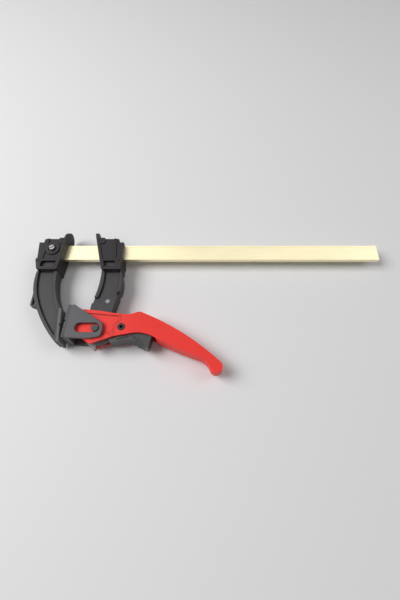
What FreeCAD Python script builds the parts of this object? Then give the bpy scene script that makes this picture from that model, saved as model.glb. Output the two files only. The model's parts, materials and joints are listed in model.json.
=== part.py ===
import FreeCAD, Part

import collections
import math
import operator
import os

import Sketcher

# A quick release bar clamp that lies on its side. X runs along the bar from the fixed head to the free
# end, Y runs from the jaws up to the bar, and Z is up through the thickness. Every outline is drawn on
# the middle plane: X is measured from the fixed jaw face and Y from the bar's centre line.

SIZES = {
    # Bar
    "bar_length": 402.0,
    "bar_tail": 35.0,
    "bar_width": 20.0,
    "bar_thickness": 5.0,
    "bar_rim": 2.3,
    "bar_recess": 0.35,
    "stake_length": 3.0,
    "stake_height": 1.2,
    "stake_inset": 1.2,
    # Play that the pieces need
    "bar_play": 0.3,
    "pin_play": 0.05,
    "side_play": 0.3,
    "seat_play": 0.1,
    "cut_overrun": 3.0,
    # Heads
    "fixed_head_back": 13.2,
    "movable_head_front": 27.6,
    "fixed_head_width": 31.1,
    "movable_head_width": 30.4,
    "fixed_plate_lean_angle": 7.2,
    "movable_plate_lean_angle": 14.0,
    "plate_thickness": 4.0,
    "plate_rise": 15.6,
    "head_foot": 28.8,
    "head_top": 14.3,
    "fixed_head_taper": 3.2,
    "movable_head_taper": 0.4,
    "shoulder_width": 6.3,
    "shoulder_drop": 5.0,
    "lobe_width": 7.0,
    "lobe_rise": 1.2,
    "cover_thickness": 24.0,
    "cover_wall": 2.2,
    "cover_corner_radius": 2.4,
    "cover_panel_depth": 1.0,
    "cover_panel_foot": 14.6,
    "window_top": 17.2,
    "window_foot": 24.6,
    "window_inset": 7.4,
    "window_margin": 0.6,
    "lobe_radius": 2.5,
    "lobe_inset": 5.4,
    "lobe_height": 9.6,
    "cover_pin_radius": 1.6,
    "cover_pin_inset": 4.5,
    "cover_pin_drop": 16.0,
    "cover_pin_proud": 0.5,
    "knuckle_radius": 3.5,
    "knuckle_proud": 1.0,
    # Screw through the fixed head and the bar
    "screw_inset": 13.3,
    "screw_radius": 2.5,
    "screw_head_radius": 3.3,
    "screw_head_height": 3.0,
    "screw_slot_width": 1.1,
    "screw_slot_depth": 0.8,
    "screw_slot_angle": 35.0,
    "screw_boss_radius": 8.3,
    "screw_boss_height": 0.5,
    "screw_recess_radius": 4.7,
    "screw_recess_depth": 1.6,
    "washer_thickness": 0.8,
    "nut_width": 8.0,
    "nut_recess_depth": 2.6,
    "nut_thickness": 3.2,
    # Arms
    "arm_thickness": 16.0,
    "web_recess": 2.6,
    "fixed_arm_back": 42.0,
    "jaw_drop": 117.4,
    "lug_thickness": 6.0,
    "fixed_pad_thickness": 3.0,
    "fixed_pad_width": 24.0,
    "fixed_pad_height": 38.3,
    "fixed_pad_inset": 0.5,
    "fixed_face_lean_angle": 4.6,
    "face_level": 105.0,
    "notch_depth": 1.3,
    "notch_half_height": 1.9,
    "brake_pin_radius": 2.5,
    "brake_pin_inset": 9.5,
    # Ratchet
    "lever_pin_along": 37.7,
    "lever_pin_drop": 102.3,
    "lever_pin_radius": 3.0,
    "lever_pin_head_radius": 3.9,
    "lever_pin_head_height": 3.7,
    "pin_groove_depth": 0.7,
    "clip_thickness": 0.8,
    "clip_width": 1.6,
    "clip_gap": 3.4,
    "tongue_radius": 10.0,
    "sector_thickness": 5.0,
    "sector_root_radius": 14.8,
    "sector_tip_radius": 17.0,
    "sector_stop_radius": 21.0,
    "sector_stop_angle": 88.5,
    "sector_end_angle": 35.0,
    "sector_top": 64.0,
    "rivet_radius": 2.5,
    "rivet_along": 46.5,
    "rivet_drop": 68.6,
    "rivet_proud": 0.3,
    # Lever
    "lever_thickness": 22.4,
    "panel_step": 0.8,
    "outer_step": 0.4,
    "lever_length": 129.3,
    "lever_fall": 40.1,
    "lever_crown": 22.2,
    "lever_tip_radius": 6.6,
    "lever_open_angle": 45.0,
    "nose_reach": 26.8,
    "nose_lift": 11.5,
    "handle_tip_thickness": 15.0,
    # Trigger
    "trigger_pin_ahead": 27.5,
    "trigger_pin_above": 2.1,
    "trigger_pin_radius": 3.0,
    "trigger_pin_bore": 1.6,
    "trigger_pin_flange_radius": 4.1,
    "trigger_pin_flange_height": 0.6,
    "trigger_boss_radius": 7.0,
    "trigger_length": 46.0,
    "trigger_toe_length": 12.8,
    "trigger_depth": 22.0,
    "trigger_rib_height": 0.9,
    "trigger_groove_depth": 0.7,
    "trigger_groove_reach": 7.0,
    "pawl_thickness": 4.8,
    "pawl_gap": 0.35,
    "spring_thickness": 0.6,
    "spring_width": 8.0,
    # Pressure jaw
    "jaw_thickness": 30.0,
    "jaw_cheek_play": 0.3,
    "jaw_height": 37.0,
    "jaw_rise": 26.3,
    "jaw_length": 40.0,
    "jaw_wall_thickness": 1.8,
    "jaw_wall_play": 0.3,
    "jaw_pad_thickness": 3.0,
    "jaw_face_lean_angle": 3.6,
    "slot_length": 15.8,
    "slot_width": 10.7,
}

SIGNS = {"+": operator.add, "-": operator.sub, "*": operator.mul, "/": operator.truediv}
TOOTH_COUNT = 6
RIB_COUNT = 5
HEXAGON_CORNERS = 6
# How far a quarter round's middle stands in from its corner, along each side
ROUND_SHARE = 1 - math.sqrt(0.5)
QUARTER_MIDDLE_ANGLE = 45


class Formula:
    """A size worked out from the sheet: its number now, and the text that binds it to the cells."""

    def __init__(self, number, text):
        self.number = number
        self.text = text

    def __add__(self, other):
        return joined(self, "+", other)

    def __sub__(self, other):
        return joined(self, "-", other)

    def __mul__(self, other):
        return joined(self, "*", other)

    def __truediv__(self, other):
        return joined(self, "/", other)

    def __rmul__(self, other):
        return joined(other, "*", self)

    def __neg__(self):
        return joined(-1, "*", self)


def as_formula(value):
    """A plain count or share becomes a formula of its own."""
    return value if isinstance(value, Formula) else Formula(value, f"({value})")


def joined(first, sign, second):
    left = as_formula(first)
    right = as_formula(second)
    return Formula(SIGNS[sign](left.number, right.number), f"({left.text} {sign} {right.text})")


def turned(name, angle):
    """The sine, cosine or tangent of an angle in degrees."""
    given = as_formula(angle)
    number = getattr(math, name)(math.radians(given.number))
    return Formula(number, f"{name}({given.text} * 1 deg)")


Point = collections.namedtuple("Point", "x y")
Bend = collections.namedtuple("Bend", "x y")
Head = collections.namedtuple("Head", "name face way width lean taper")

ZERO = Formula(0, "0")
document = FreeCAD.newDocument("bar_clamp")
sheet = document.addObject("Spreadsheet::Sheet", "Sizes")
for row, (alias, value) in enumerate(SIZES.items(), start=1):
    sheet.set(f"A{row}", alias)
    sheet.set(f"B{row}", str(value))
    sheet.setAlias(f"B{row}", alias)
document.recompute()

size = collections.namedtuple("Size", SIZES)(
    **{alias: Formula(value, f"Sizes.{alias}") for alias, value in SIZES.items()}
)

# Places and sizes that several pieces share
bar_end = size.bar_length - size.bar_tail
bar_half = size.bar_width / 2
pin_x = size.lever_pin_along
pin_y = -size.lever_pin_drop
trigger_x = pin_x + size.trigger_pin_ahead
trigger_y = pin_y + size.trigger_pin_above
channel_thickness = size.arm_thickness + size.side_play * 2
jaw_inner_thickness = size.lever_thickness + size.jaw_cheek_play * 2
panel_thickness = size.lever_thickness - size.panel_step * 2
HANDLE_START_SHARE = 0.8
handle_start_x = trigger_x + size.trigger_length * HANDLE_START_SHARE
handle_tip_x = pin_x + size.lever_length
plate_radius = size.cover_thickness / 2
fixed_head = Head(
    "fixed_head",
    -size.fixed_head_back,
    -1,
    size.fixed_head_width,
    size.fixed_plate_lean_angle,
    size.fixed_head_taper,
)
movable_head = Head(
    "movable_head",
    size.movable_head_front,
    1,
    size.movable_head_width,
    size.movable_plate_lean_angle,
    size.movable_head_taper,
)
screw_x = fixed_head.face - size.screw_inset
fixed_pad_low = size.jaw_drop - size.fixed_pad_inset
fixed_pad_high = fixed_pad_low - size.fixed_pad_height

# The part's origin is under the middle of the whole clamp, on the bench
left_end = fixed_head.face - fixed_head.width
low_end = pin_y - size.lever_fall - size.lever_tip_radius
origin_x = (left_end + bar_end) / 2
origin_y = (low_end + size.plate_rise + plate_radius) / 2
parts = []


def new_part(name):
    """An empty body with its label, set down in the part's own frame."""
    body = document.addObject("PartDesign::Body", name)
    body.Label = name
    body.setExpression("Placement.Base.x", (-origin_x).text)
    body.setExpression("Placement.Base.y", (-origin_y).text)
    body.setExpression("Placement.Base.z", (size.jaw_thickness / 2).text)
    parts.append(body)
    return body


def new_sketch(body, role="XY_Plane", level=ZERO):
    """A sketch on one of the body's own planes, lifted to a level above it."""
    plane = [feature for feature in body.Origin.OriginFeatures if feature.Role == role][0]
    sketch = body.newObject("Sketcher::SketchObject", f"{body.Name}_sketch")
    sketch.AttachmentSupport = [(plane, "")]
    sketch.MapMode = "FlatFace"
    sketch.setExpression("AttachmentOffset.Base.z", level.text)
    return sketch


def bind(sketch, constraints):
    """Adds constraints and ties each one that has a formula to the sheet."""
    first = sketch.ConstraintCount
    sketch.addConstraint([constraint for constraint, formula in constraints])
    for number, (constraint, formula) in enumerate(constraints, start=first):
        if formula is not None:
            sketch.setExpression(f"Constraints[{number}]", formula.text)


def place(geometry, corner, point):
    """The two distances that hold one corner of a piece of geometry at a point."""
    return [
        (Sketcher.Constraint("DistanceX", -1, 1, geometry, corner, point.x.number), point.x),
        (Sketcher.Constraint("DistanceY", -1, 1, geometry, corner, point.y.number), point.y),
    ]


def vector(point):
    return FreeCAD.Vector(point.x.number, point.y.number, 0)


def turns_left(start, bend, end):
    first = vector(bend) - vector(start)
    second = vector(end) - vector(bend)
    return first.cross(second).z > 0


def draw(sketch, outline):
    """Draws one closed outline: straight between points, and an arc wherever a bend lies between."""
    corners = [item for item in outline if isinstance(item, Point)]
    constraints = []
    joints = []
    index = 0
    for number, start in enumerate(corners):
        end = corners[(number + 1) % len(corners)]
        index = outline.index(start, index)
        bend = outline[(index + 1) % len(outline)]
        if isinstance(bend, Bend):
            forward = turns_left(start, bend, end)
            first, last = (start, end) if forward else (end, start)
            edge = sketch.addGeometry(Part.Arc(vector(first), vector(bend), vector(last)), False)
            mark = sketch.addGeometry(Part.Point(vector(bend)), True)
            constraints += place(mark, 1, bend)
            constraints.append((Sketcher.Constraint("PointOnObject", mark, 1, edge), None))
            joints.append((edge, 1, 2) if forward else (edge, 2, 1))
        else:
            edge = sketch.addGeometry(Part.LineSegment(vector(start), vector(end)), False)
            joints.append((edge, 1, 2))
        constraints = place(joints[-1][0], joints[-1][1], start) + constraints
    for number, (edge, head, tail) in enumerate(joints):
        after, after_head, _ = joints[(number + 1) % len(joints)]
        constraints.append((Sketcher.Constraint("Coincident", edge, tail, after, after_head), None))
    bind(sketch, constraints)


def draw_circle(sketch, centre, radius):
    middle = vector(centre)
    edge = sketch.addGeometry(Part.Circle(middle, FreeCAD.Vector(0, 0, 1), radius.number), False)
    constraints = place(edge, 3, centre)
    constraints.append((Sketcher.Constraint("Radius", edge, radius.number), radius))
    bind(sketch, constraints)


def finish_feature(feature, sketch, length, symmetric, reverse=False):
    feature.Profile = sketch
    feature.setExpression("Length", length.text)
    feature.Length = length.number
    feature.SideType = "Symmetric" if symmetric else "One side"
    feature.Reversed = reverse
    return feature


def pad(body, outline, thickness):
    """Material on both sides of the middle plane."""
    sketch = new_sketch(body)
    draw(sketch, outline)
    return finish_feature(body.newObject("PartDesign::Pad", f"{body.Name}_pad"), sketch, thickness, True)


def pocket(body, outline, thickness, role="XY_Plane"):
    """A cut on both sides of a plane."""
    sketch = new_sketch(body, role)
    draw(sketch, outline)
    feature = body.newObject("PartDesign::Pocket", f"{body.Name}_cut")
    return finish_feature(feature, sketch, thickness, True)


def recess(body, thickness, depth, *outlines):
    """The same shallow cuts in the top and the bottom face."""
    for way in (1, -1):
        sketch = new_sketch(body, level=thickness * (way / 2))
        for outline in outlines:
            draw(sketch, outline)
        feature = body.newObject("PartDesign::Pocket", f"{body.Name}_recess")
        finish_feature(feature, sketch, depth, False, reverse=way < 0)


def disc(body, centre, radius, low, high):
    """A round boss or shank from one level up to another."""
    sketch = new_sketch(body, level=low)
    draw_circle(sketch, centre, radius)
    return finish_feature(body.newObject("PartDesign::Pad", f"{body.Name}_disc"), sketch, high - low, False)


def two_discs(body, centre, radius, low, high):
    """The same boss above and below the middle plane."""
    disc(body, centre, radius, low, high)
    disc(body, centre, radius, -high, -low)


def bore(body, centre, radius, low, high):
    """A round hole from one level up to another."""
    sketch = new_sketch(body, level=high)
    draw_circle(sketch, centre, radius)
    feature = body.newObject("PartDesign::Pocket", f"{body.Name}_bore")
    return finish_feature(feature, sketch, high - low, False)


def through_bore(body, centre, radius):
    reach = size.jaw_thickness / 2 + size.cut_overrun
    return bore(body, centre, radius, -reach, reach)


def rectangle(left, right, low, high):
    return [Point(left, low), Point(right, low), Point(right, high), Point(left, high)]


def round_slot(left, right, middle, half):
    """A slot with round ends, half its width above and below its middle line."""
    return [
        Point(left, middle - half),
        Point(right, middle - half),
        Bend(right + half, middle),
        Point(right, middle + half),
        Point(left, middle + half),
        Bend(left - half, middle),
    ]


def along(start, end, share):
    """The point at a share of the way from one point to another."""
    return Point(start.x + (end.x - start.x) * share, start.y + (end.y - start.y) * share)


def around_pin(radius, angle):
    """A point at a radius from the lever pin, its angle counted clockwise from +X."""
    return Point(pin_x + radius * turned("cos", angle), pin_y - radius * turned("sin", angle))


def nose_point(share):
    """A point of the nose, where a flat wall that moves with the lever's turn always touches it."""
    angle = size.lever_open_angle * share
    reach = size.nose_reach - size.nose_lift * angle * (math.pi / 180)
    cosine = turned("cos", angle)
    sine = turned("sin", angle)
    return Point(
        pin_x - reach * cosine - size.nose_lift * sine,
        pin_y - reach * sine + size.nose_lift * cosine,
    )


def in_head(head, inset, height):
    """A point at an inset from the head's gap face, and a height over the bar's centre line."""
    return Point(head.face + inset * head.way, height)


def plate_face(head, height, inset=ZERO):
    """A point of the leaning plate's gap face, or at an inset behind it."""
    return in_head(head, inset - height * turned("tan", head.lean), height)


def plate_outline(head):
    low = -size.head_foot
    high = size.plate_rise + plate_radius
    plate_round = size.cover_corner_radius * ROUND_SHARE
    return [
        plate_face(head, high),
        plate_face(head, high, size.plate_thickness),
        plate_face(head, low, size.plate_thickness),
        plate_face(head, low, size.cover_corner_radius),
        Bend(*plate_face(head, low + size.cover_corner_radius * ROUND_SHARE, plate_round)),
        plate_face(head, low + size.cover_corner_radius),
    ]


def knuckle(head):
    """The round bulge in the cover's outer side round the cover pin."""
    reach = head.width - head.taper / 2 + size.knuckle_proud
    side = reach - size.knuckle_proud
    return [
        in_head(head, side, size.knuckle_radius - size.cover_pin_drop),
        Bend(*in_head(head, reach, -size.cover_pin_drop)),
        in_head(head, side, -size.knuckle_radius - size.cover_pin_drop),
    ]


LOBE_SLANT_SHARE = 0.5
WINDOW_SLANT_SHARE = 0.25


def head_outline(head, inset, foot, bulge=()):
    """The head behind its plate, drawn in by an inset from the outside of the cover."""
    lobe = size.head_top + size.lobe_rise - inset
    top = size.head_top - inset
    shoulder = size.head_top - size.shoulder_drop - inset
    outer = head.width - inset
    step = head.width - size.shoulder_width - inset
    corner = size.cover_corner_radius
    return [
        plate_face(head, lobe, size.plate_thickness),
        in_head(head, size.lobe_width - inset * LOBE_SLANT_SHARE, lobe),
        in_head(head, size.lobe_width, top),
        in_head(head, step, top),
        in_head(head, step + size.lobe_rise * LOBE_SLANT_SHARE, shoulder),
        in_head(head, outer, shoulder),
        *bulge,
        in_head(head, outer - head.taper, corner - foot),
        Bend(*in_head(head, outer - head.taper - corner * ROUND_SHARE, corner * ROUND_SHARE - foot)),
        in_head(head, outer - head.taper - corner, -foot),
        plate_face(head, -foot, size.plate_thickness),
    ]


def bar_hole(body, head):
    """The hole that the bar slides through, square to the bar."""
    half = bar_half + size.bar_play
    depth = size.bar_thickness / 2 + size.bar_play
    reach = (size.fixed_head_back + head.width + size.movable_head_front) * 2 + size.cut_overrun
    return pocket(body, rectangle(-half, half, -depth, depth), reach, "YZ_Plane")


def make_bar():
    body = new_part("bar")
    inner = bar_half - size.bar_rim
    start = -size.bar_tail
    core = size.bar_thickness - size.bar_recess * 2
    stake_end = bar_end - size.stake_inset
    pad(body, rectangle(start, bar_end, -bar_half, bar_half), core)
    pad(body, rectangle(start, bar_end, inner, bar_half), size.bar_thickness)
    pad(body, rectangle(start, bar_end, -bar_half, -inner), size.bar_thickness)
    stake = [
        Point(stake_end - size.stake_length, bar_half),
        Bend(stake_end - size.stake_length / 2, bar_half + size.stake_height),
        Point(stake_end, bar_half),
    ]
    pad(body, stake, core)
    through_bore(body, Point(screw_x, ZERO), size.screw_radius + size.pin_play)


def make_plate(head):
    body = new_part(f"{head.name.replace('_head', '')}_grip_plate")
    pad(body, plate_outline(head), size.cover_thickness)
    wide = plate_radius + size.cut_overrun
    high = size.plate_rise + plate_radius + size.cut_overrun
    crown = [
        Point(size.plate_rise, -wide),
        Point(size.plate_rise, -plate_radius),
        Bend(size.plate_rise + plate_radius, ZERO),
        Point(size.plate_rise, plate_radius),
        Point(size.plate_rise, wide),
        Point(high, wide),
        Point(high, -wide),
    ]
    reach = (size.movable_head_front + size.fixed_head_back + head.width) * 2
    pocket(body, crown, reach, "YZ_Plane")
    bar_hole(body, head)


PANEL_EDGE_SHARES = (0.60, 0.73)
SHOULDER_EDGE_SHARES = (0.71, 0.85)


def cover_edge(head, shares, height):
    """A point of a slanted edge on the cover, from its share at the panel's foot to that at the top."""
    top, foot = shares
    climb = (height + size.cover_panel_foot) / (size.head_top + size.cover_panel_foot)
    return in_head(head, head.width * foot + head.width * (top - foot) * climb, height)


def cover_panel(head):
    """The sunk panel between the grip plate and the raised strip, with a round lobe beside the plate."""
    high = size.head_top + size.lobe_rise + size.cut_overrun
    low = -size.cover_panel_foot
    inset = size.plate_thickness - size.cut_overrun
    radius = size.lobe_radius
    lobe = size.lobe_inset
    slant = radius * turned("cos", QUARTER_MIDDLE_ANGLE)
    return [
        in_head(head, lobe + radius, high),
        cover_edge(head, PANEL_EDGE_SHARES, high),
        cover_edge(head, PANEL_EDGE_SHARES, low),
        plate_face(head, low, inset),
        plate_face(head, size.lobe_height - radius, inset),
        in_head(head, lobe, size.lobe_height - radius),
        Bend(*in_head(head, lobe + slant, size.lobe_height - slant)),
        in_head(head, lobe + radius, size.lobe_height),
    ]


def cover_shoulder(head):
    """The lower step at the outer end of the cover, from the raised strip to the knuckle."""
    high = size.head_top + size.cut_overrun
    pin = cover_pin_centre(head)
    slant = size.knuckle_radius * turned("cos", QUARTER_MIDDLE_ANGLE)
    return [
        cover_edge(head, SHOULDER_EDGE_SHARES, high),
        in_head(head, head.width + size.cut_overrun, high),
        in_head(head, head.width + size.cut_overrun, pin.y + slant),
        Point(pin.x + slant * head.way, pin.y + slant),
        Bend(pin.x, pin.y + size.knuckle_radius),
        Point(pin.x - slant * head.way, pin.y + slant),
    ]


def cover_window(head):
    """The opening in the lower end of the cover, which leaves a round-cornered frame round it."""
    near = size.plate_thickness + size.window_margin
    far = head.width - size.window_inset
    slope = (size.window_foot - size.window_top) * WINDOW_SLANT_SHARE
    return [
        plate_face(head, -size.window_top, near),
        in_head(head, far - slope, -size.window_top),
        in_head(head, far, -size.window_top - slope),
        in_head(head, far, -size.window_foot),
        plate_face(head, -size.window_foot, near),
    ]


def cover_pin_centre(head):
    return in_head(head, head.width - size.cover_pin_inset, -size.cover_pin_drop)


def make_cover(head):
    """The moulded hood over the end of an arm: two sides, a top and an outer wall."""
    body = new_part(f"{head.name}_cover")
    pad(body, head_outline(head, ZERO, size.head_foot, knuckle(head)), size.cover_thickness)
    hollow = head_outline(head, size.cover_wall, size.head_foot + size.cut_overrun)
    front = plate_face(head, size.head_top + size.lobe_rise - size.cover_wall)
    hollow[0] = front
    hollow[-1] = plate_face(head, -size.head_foot - size.cut_overrun)
    pocket(body, hollow, size.arm_thickness + size.seat_play * 2)
    recess(body, size.cover_thickness, size.cover_panel_depth, cover_panel(head), cover_shoulder(head))
    pocket(body, cover_window(head), size.cover_thickness + size.cut_overrun)
    through_bore(body, cover_pin_centre(head), size.cover_pin_radius + size.pin_play)
    return body


def make_cover_pin(head):
    body = new_part(f"{head.name.replace('_head', '')}_cover_pin")
    end = size.cover_thickness / 2 + size.cover_pin_proud
    disc(body, cover_pin_centre(head), size.cover_pin_radius, -end, end)


def add_screw_seat(body):
    """The round boss on both sides of the fixed head, with a round recess above and a nut's below."""
    centre = Point(screw_x, ZERO)
    inside = size.arm_thickness / 2 + size.seat_play
    top = size.cover_thickness / 2 + size.screw_boss_height
    two_discs(body, centre, size.screw_boss_radius, inside, top)
    bore(body, centre, size.screw_recess_radius, top - size.screw_recess_depth, top)
    sketch = new_sketch(body, level=-top)
    draw(sketch, hexagon(centre, size.nut_width + size.seat_play * 2))
    feature = body.newObject("PartDesign::Pocket", f"{body.Name}_nut_seat")
    finish_feature(feature, sketch, size.nut_recess_depth, False, reverse=True)
    through_bore(body, centre, size.screw_radius + size.pin_play)


def spun(centre, across, up, angle):
    """A point beside a centre, with its two distances turned by an angle."""
    cosine = turned("cos", angle)
    sine = turned("sin", angle)
    return Point(centre.x + across * cosine - up * sine, centre.y + across * sine + up * cosine)


def hexagon(centre, flats):
    step = 360 / HEXAGON_CORNERS
    radius = flats / 2 / turned("cos", step / 2)
    corners = []
    for number in range(HEXAGON_CORNERS):
        angle = step * number
        corners.append(
            Point(centre.x + radius * turned("cos", angle), centre.y + radius * turned("sin", angle))
        )
    return corners


def make_screw():
    centre = Point(screw_x, ZERO)
    top = size.cover_thickness / 2 + size.screw_boss_height
    seat = top - size.screw_recess_depth
    under_head = seat + size.washer_thickness
    high = under_head + size.screw_head_height
    nut_seat = size.nut_recess_depth - top
    body = new_part("fixed_head_screw")
    disc(body, centre, size.screw_radius, nut_seat - size.nut_thickness, under_head)
    disc(body, centre, size.screw_head_radius, under_head, high)
    half = size.screw_slot_width / 2
    reach = size.screw_head_radius + size.cut_overrun
    sketch = new_sketch(body, level=high)
    ends = ((-reach, -half), (reach, -half), (reach, half), (-reach, half))
    draw(sketch, [spun(centre, x, y, size.screw_slot_angle) for x, y in ends])
    slot = body.newObject("PartDesign::Pocket", "fixed_head_screw_slot")
    finish_feature(slot, sketch, size.screw_slot_depth, False)

    washer = new_part("fixed_head_washer")
    disc(washer, centre, size.screw_recess_radius - size.seat_play, seat, under_head)
    through_bore(washer, centre, size.screw_radius + size.pin_play)

    nut = new_part("fixed_head_nut")
    sketch = new_sketch(nut, level=nut_seat - size.nut_thickness)
    draw(sketch, hexagon(centre, size.nut_width))
    feature = nut.newObject("PartDesign::Pad", "fixed_head_nut_pad")
    finish_feature(feature, sketch, size.nut_thickness, False)
    through_bore(nut, centre, size.screw_radius + size.pin_play)


def shared_points(shares, wide, tall):
    """Points and bends of an outline from shares of a width to the left and a height downwards."""
    return [kind(-wide * across, -tall * down) for kind, across, down in shares]


FIXED_BACK_SHARES = (
    (Bend, 0.985, 0.400),
    (Point, 0.876, 0.562),
    (Bend, 0.600, 0.760),
    (Point, 0.090, 0.998),
)
FIXED_FRONT_SHARES = (
    (Point, 0.181, 0.624),
    (Bend, 0.362, 0.434),
)
FIXED_WEB_SHARES = (
    (Point, 0.905, 0.235),
    (Bend, 0.891, 0.400),
    (Point, 0.795, 0.541),
    (Bend, 0.522, 0.744),
    (Point, 0.160, 0.924),
    (Point, 0.207, 0.684),
    (Bend, 0.420, 0.460),
    (Point, 0.505, 0.235),
)
LUG_SHARES = (
    (Point, 0.985, 0.410),
    (Point, 1.003, 0.480),
    (Point, 1.014, 0.585),
    (Bend, 1.006, 0.606),
    (Point, 0.976, 0.616),
    (Point, 0.843, 0.633),
    (Point, 0.760, 0.600),
    (Point, 0.860, 0.440),
)
LUG_HOLE_SHARES = (
    (Point, 0.955, 0.530),
    (Point, 0.955, 0.599),
    (Point, 0.872, 0.592),
    (Point, 0.926, 0.530),
)


def fixed_face(drop, behind=ZERO):
    """A point of the fixed jaw face at a drop below the bar, or behind that face."""
    lean = (drop - size.face_level) * turned("tan", size.fixed_face_lean_angle)
    return Point(lean - behind, -drop)


def make_fixed_arm():
    head = fixed_head
    body = new_part("fixed_arm")
    seat = size.fixed_pad_thickness
    foot_out = in_head(head, head.width - head.taper, -size.head_foot)
    foot_in = plate_face(head, -size.head_foot)
    outline = [foot_out]
    outline += shared_points(FIXED_BACK_SHARES, size.fixed_arm_back, size.jaw_drop)
    outline += [fixed_face(fixed_pad_low, seat), fixed_face(fixed_pad_high, seat)]
    outline += shared_points(FIXED_FRONT_SHARES, size.fixed_arm_back, size.jaw_drop)
    outline.append(foot_in)
    pad(body, outline, size.arm_thickness)
    lug = shared_points(LUG_SHARES, size.fixed_arm_back, size.jaw_drop)
    pad(body, lug, size.lug_thickness)
    hole = shared_points(LUG_HOLE_SHARES, size.fixed_arm_back, size.jaw_drop)
    pocket(body, hole, size.lug_thickness + size.cut_overrun)
    web = shared_points(FIXED_WEB_SHARES, size.fixed_arm_back, size.jaw_drop)
    recess(body, size.arm_thickness, size.web_recess, web)
    add_head_block(body, head)
    through_bore(body, Point(screw_x, ZERO), size.screw_radius + size.pin_play)


def add_head_block(body, head):
    """The end of an arm that fills its cover, with the bar's hole and the cover pin's."""
    block = head_outline(head, size.cover_wall + size.seat_play, size.head_foot)
    pad(body, block, size.arm_thickness)
    bar_hole(body, head)
    through_bore(body, cover_pin_centre(head), size.cover_pin_radius + size.pin_play)


def notched_pad(name, top, bottom, back_top, back_bottom, thickness, way):
    """A soft pad with a V notch across the middle of its face."""
    body = new_part(name)
    middle = along(top, bottom, 0.5)
    half = size.notch_half_height
    outline = [
        top,
        Point(middle.x, middle.y + half),
        Point(middle.x + size.notch_depth * way, middle.y),
        Point(middle.x, middle.y - half),
        bottom,
        back_bottom,
        back_top,
    ]
    pad(body, outline, thickness)


def make_fixed_pad():
    seat = size.fixed_pad_thickness
    notched_pad(
        "fixed_jaw_pad",
        fixed_face(fixed_pad_high),
        fixed_face(fixed_pad_low),
        fixed_face(fixed_pad_high, seat),
        fixed_face(fixed_pad_low, seat),
        size.fixed_pad_width,
        -1,
    )


ARM_BACK_SHARES = (
    (Point, 0.389, 0.802),
    (Point, 0.500, 0.611),
    (Point, 0.564, 0.528),
    (Bend, 0.590, 0.411),
)
ARM_FRONT_SHARES = (
    (Bend, -0.095, 0.440),
    (Point, -0.161, 0.582),
    (Point, -0.241, 0.704),
    (Point, -0.265, 0.790),
)
ARM_WEB_SHARES = (
    (Point, 0.013, 0.270),
    (Bend, 0.022, 0.450),
    (Point, -0.148, 0.678),
    (Point, 0.030, 0.678),
    (Bend, 0.110, 0.630),
    (Point, 0.420, 0.612),
    (Point, 0.474, 0.520),
    (Bend, 0.492, 0.411),
    (Point, 0.480, 0.270),
)
ARM_NOTCH_SHARES = (
    (Point, 0.480, 0.592),
    (Point, 0.650, 0.592),
    (Point, 0.650, 0.552),
    (Point, 0.490, 0.552),
)
FRONT_NOTCH_SHARES = (
    (Point, -0.300, 0.622),
    (Point, -0.300, 0.690),
    (Point, -0.120, 0.690),
    (Point, -0.060, 0.622),
)
SECTOR_FOOT_SHARES = (0.950, 0.939)
STOP_FOOT_SHARE = 0.085
SECTOR_FRONT_SHARES = (
    (Point, -0.770, 0.000),
    (Point, -0.770, 1.000),
)
SECTOR_BACK_SHARES = (
    (Point, 1.330, 1.000),
    (Point, 1.270, 0.580),
    (Point, 0.830, 0.110),
)


def pin_points(shares):
    """Outline points of the movable arm: across in shares of the pin's distance, down of its drop."""
    return [kind(pin_x + size.lever_pin_along * across, pin_y * down) for kind, across, down in shares]


def sector_outline():
    """The ratchet plate: a riveted stem, the teeth round the pin and the stop past the last tooth."""
    climb = size.lever_pin_drop - size.sector_top
    wide = size.tongue_radius
    stem = [
        kind(pin_x + wide * across, pin_y + climb * up)
        for kind, across, up in SECTOR_FRONT_SHARES + SECTOR_BACK_SHARES
    ]
    pitch = (size.sector_stop_angle - size.sector_end_angle) / TOOTH_COUNT
    across, down = SECTOR_FOOT_SHARES
    outline = [Point(pin_x - wide * across, pin_y - size.sector_root_radius * down)]
    outline += stem
    for number in range(TOOTH_COUNT):
        angle = size.sector_end_angle + pitch * number
        outline.append(around_pin(size.sector_tip_radius, angle))
        outline.append(around_pin(size.sector_root_radius, angle + pitch))
    stop = around_pin(size.sector_stop_radius, size.sector_stop_angle)
    outline.append(stop)
    outline.append(Point(stop.x - size.sector_stop_radius * STOP_FOOT_SHARE, stop.y))
    return outline


def make_sector():
    body = new_part("ratchet_sector")
    pad(body, sector_outline(), size.sector_thickness)
    through_bore(body, Point(pin_x, pin_y), size.lever_pin_radius + size.pin_play)
    through_bore(body, rivet_centre(), size.rivet_radius)


def rivet_centre():
    return Point(size.rivet_along, -size.rivet_drop)


def make_rivet():
    body = new_part("sector_rivet")
    end = size.arm_thickness / 2 + size.rivet_proud
    disc(body, rivet_centre(), size.rivet_radius, -end, end)


def brake_pin_centre():
    drop = bar_half + size.bar_play + size.brake_pin_radius
    return in_head(movable_head, movable_head.width - size.brake_pin_inset, -drop)


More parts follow.
